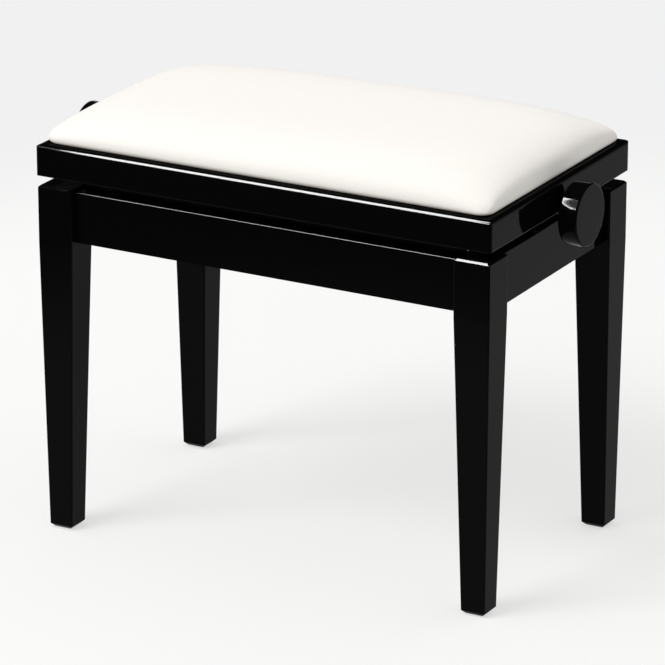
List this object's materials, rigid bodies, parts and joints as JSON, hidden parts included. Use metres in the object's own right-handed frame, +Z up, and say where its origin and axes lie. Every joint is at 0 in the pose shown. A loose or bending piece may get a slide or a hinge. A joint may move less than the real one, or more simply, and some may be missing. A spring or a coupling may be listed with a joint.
{
  "type": "piano stool",
  "caption": "Rectangular piano stool on tapered legs with a padded seat, raised by turning side knobs that drive a screw and scissor lift.",
  "frame": {"origin": "on the floor under the middle of the seat, with the seat at its lowest", "axes": "+X along the long side towards the right knob, +Y towards the rear, +Z up"},
  "size_m": [0.626, 0.3304, 0.4865],
  "materials": {
    "black_lacquer": "solid beech under polished black polyester lacquer, mirror gloss",
    "velour": "cream white velour with a short dense nap",
    "foam": "cut polyurethane foam",
    "plywood": "birch plywood, stained black",
    "black_steel": "pressed steel, black powder coat",
    "zinc_steel": "bright zinc-plated steel",
    "nylon": "natural nylon",
    "brass": "turned brass",
    "glide_plastic": "moulded nylon, black"
  },
  "bodies": {
    "base": {"leg_front_left": "black_lacquer", "leg_front_right": "black_lacquer", "leg_rear_left": "black_lacquer", "leg_rear_right": "black_lacquer", "glide_front_left": "glide_plastic", "glide_front_right": "glide_plastic", "glide_rear_left": "glide_plastic", "glide_rear_right": "glide_plastic", "corner_bracket_front_left": "black_steel", "corner_bracket_front_right": "black_steel", "corner_bracket_rear_left": "black_steel", "corner_bracket_rear_right": "black_steel", "apron_front": "black_lacquer", "apron_rear": "black_lacquer", "apron_left": "black_lacquer", "apron_right": "black_lacquer", "hanger_bolts": "zinc_steel", "bolt_washers": "zinc_steel", "bolt_nuts": "zinc_steel", "bracket_screws": "zinc_steel", "lower_track_front": "black_steel", "lower_track_rear": "black_steel", "lower_track_screws": "zinc_steel", "lower_pivot_rod": "zinc_steel", "lower_pivot_spacers": "zinc_steel", "lower_pivot_clips": "zinc_steel"},
    "seat": {"seat_rail_front": "black_lacquer", "seat_rail_rear": "black_lacquer", "seat_rail_left": "black_lacquer", "seat_rail_right": "black_lacquer", "seat_board": "plywood", "seat_foam": "foam", "seat_cover": "velour", "board_screws": "zinc_steel", "upper_track_front": "black_steel", "upper_track_rear": "black_steel", "upper_track_screws": "zinc_steel", "upper_pivot_bar": "zinc_steel", "upper_pivot_spacers": "zinc_steel", "bearing_plate_left": "black_steel", "bearing_plate_right": "black_steel", "bearing_plate_screws": "zinc_steel", "spindle_bush_left": "brass", "spindle_bush_right": "brass"},
    "outer_arms": {"arm_outer_front": "black_steel", "arm_outer_rear": "black_steel", "arm_rivets": "zinc_steel"},
    "inner_arms": {"arm_inner_front": "black_steel", "arm_inner_rear": "black_steel", "slide_rod": "zinc_steel", "slide_rollers": "nylon", "slide_clips": "zinc_steel"},
    "nut": {"nut_bar": "zinc_steel", "nut_rollers": "nylon"},
    "spindle": {"spindle": "zinc_steel", "knob_left": "black_lacquer", "knob_right": "black_lacquer", "knob_grub_screws": "zinc_steel", "thrust_collars": "zinc_steel"}
  },
  "joints": [
    {"name": "seat_lift", "type": "slide", "parent": "base", "child": "seat", "axis": [0, 0, 1], "range_m": [0, 0.09]},
    {"name": "outer_arms_turn", "type": "hinge", "parent": "base", "child": "outer_arms", "pos_m": [-0.1848, 0, 0.353], "axis": [0, -1, 0], "range_deg": [0, 14.42]},
    {"name": "inner_arms_turn", "type": "hinge", "parent": "seat", "child": "inner_arms", "pos_m": [-0.1848, 0, 0.4138], "axis": [0, 1, 0], "range_deg": [0, 14.42]},
    {"name": "nut_slide", "type": "slide", "parent": "seat", "child": "nut", "axis": [-1, 0, 0], "range_m": [0, 0.02675]},
    {"name": "spindle_spin", "type": "hinge", "parent": "seat", "child": "spindle", "pos_m": [0, 0, 0.4138], "axis": [1, 0, 0], "range_deg": [0, 4811.34]}
  ],
  "couplings": [
    {"joint": "outer_arms_turn", "follows": "seat_lift", "rad_per_m": 2.7923},
    {"joint": "inner_arms_turn", "follows": "seat_lift", "rad_per_m": 2.7923},
    {"joint": "nut_slide", "follows": "seat_lift", "ratio": 0.29699},
    {"joint": "spindle_spin", "follows": "seat_lift", "rad_per_m": 933.04}
  ]
}
